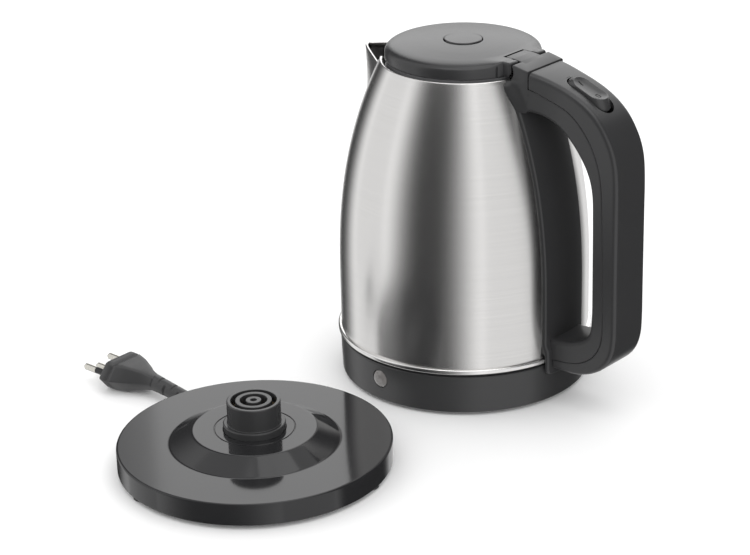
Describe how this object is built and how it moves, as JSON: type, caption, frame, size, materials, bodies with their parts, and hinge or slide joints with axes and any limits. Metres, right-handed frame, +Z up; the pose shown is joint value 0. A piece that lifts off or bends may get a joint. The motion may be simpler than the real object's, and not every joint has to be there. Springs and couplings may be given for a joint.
{
  "type": "electric kettle",
  "caption": "Cordless steel electric kettle with a hinged lid, pouring spout, loop handle and rocker switch, beside its round power base with cord and plug.",
  "frame": {"origin": "on the floor, in the middle of the box round the kettle and its power base, without the cord and plug", "axes": "+Z up; +X from the kettle's axis towards its handle, so the spout points to -X; +Y from the power base towards the kettle"},
  "size_m": [0.2883, 0.3327, 0.2084],
  "materials": {
    "vessel_steel": "horizontally brushed, satin",
    "trim_steel": "polished",
    "inner_steel": "mill finish",
    "spreader_aluminium": "cast",
    "contact_brass": "bright",
    "handle_plastic": "satin",
    "lid_plastic": "fine satin",
    "foot_plastic": "satin",
    "inner_plastic": "plain moulded",
    "liner_plastic": "plain moulded",
    "base_plastic": "high gloss",
    "lens_plastic": "smoky translucent",
    "lamp_glass": "clear",
    "screw_steel": "zinc plated",
    "seal_rubber": "silicone",
    "foot_rubber": "matt",
    "cord_pvc": "flexible PVC",
    "pin_brass": "nickel plated"
  },
  "bodies": {
    "base": {"base_shell": "base_plastic", "base_plate": "inner_plastic", "connector_tower": "inner_plastic", "tower_outer_contact": "contact_brass", "tower_inner_contact": "contact_brass", "tower_earth_contact": "contact_brass", "base_feet": "foot_rubber", "base_screws": "screw_steel", "cord_clamp": "inner_plastic", "cord": "cord_pvc", "cord_coil": "cord_pvc", "plug_body": "cord_pvc", "plug_pins": "pin_brass", "pin_sleeves": "cord_pvc"},
    "kettle": {"body_shell": "vessel_steel", "spout": "vessel_steel", "trim_ring": "trim_steel", "floor_plate": "inner_steel", "heat_spreader": "spreader_aluminium", "heating_element": "inner_steel", "control_unit": "inner_plastic", "socket_outer_ring": "contact_brass", "socket_inner_ring": "contact_brass", "socket_pin": "contact_brass", "foot_housing": "foot_plastic", "bottom_cover": "foot_plastic", "cover_screws": "screw_steel", "indicator_lens": "lens_plastic", "indicator_lamp": "lamp_glass", "handle_frame": "handle_plastic", "handle_shell": "handle_plastic", "handle_screws": "screw_steel", "switch_cup": "inner_plastic", "steam_switch": "inner_plastic", "bimetal_disc": "inner_steel", "hinge_pin": "screw_steel"},
    "lid": {"lid_top": "lid_plastic", "lid_liner": "liner_plastic", "lid_seal": "seal_rubber", "button_spring": "screw_steel"},
    "button": {"lid_button": "lid_plastic"},
    "front_latch": {"latch_front": "liner_plastic"},
    "rear_latch": {"latch_rear": "liner_plastic"},
    "switch_rocker": {"rocker": "handle_plastic"},
    "switch_lever": {"trip_lever": "liner_plastic"}
  },
  "joints": [
    {"name": "kettle_lift", "type": "slide", "parent": "base", "child": "kettle", "axis": [0, 0, 1], "range_m": [0, 0.15]},
    {"name": "lid_hinge", "type": "hinge", "parent": "kettle", "child": "lid", "pos_m": [0.0253, 0.08895, 0.2013], "axis": [0, 1, 0], "range_deg": [0, 78]},
    {"name": "button_press", "type": "slide", "parent": "lid", "child": "button", "axis": [0, 0, -1], "range_m": [0, 0.003], "stiffness_N_per_m": 400, "springref_m": -0.003, "deforming": ["button_spring"]},
    {"name": "front_latch_slide", "type": "slide", "parent": "lid", "child": "front_latch", "axis": [0, 1, 0], "range_m": [0, 0.0034]},
    {"name": "rear_latch_slide", "type": "slide", "parent": "lid", "child": "rear_latch", "axis": [0, -1, 0], "range_m": [0, 0.0034]},
    {"name": "rocker_press", "type": "hinge", "parent": "kettle", "child": "switch_rocker", "pos_m": [0.07175, 0.08895, 0.18825], "axis": [0, 1, 0], "range_deg": [0, 25]},
    {"name": "lever_trip", "type": "hinge", "parent": "kettle", "child": "switch_lever", "pos_m": [0.0524, 0.08895, 0.1854], "axis": [0, 1, 0], "range_deg": [-9, 0]}
  ],
  "couplings": [
    {"joint": "front_latch_slide", "follows": "button_press", "ratio": 1.1333},
    {"joint": "rear_latch_slide", "follows": "button_press", "ratio": 1.1333},
    {"joint": "lever_trip", "follows": "rocker_press", "ratio": -0.3}
  ]
}
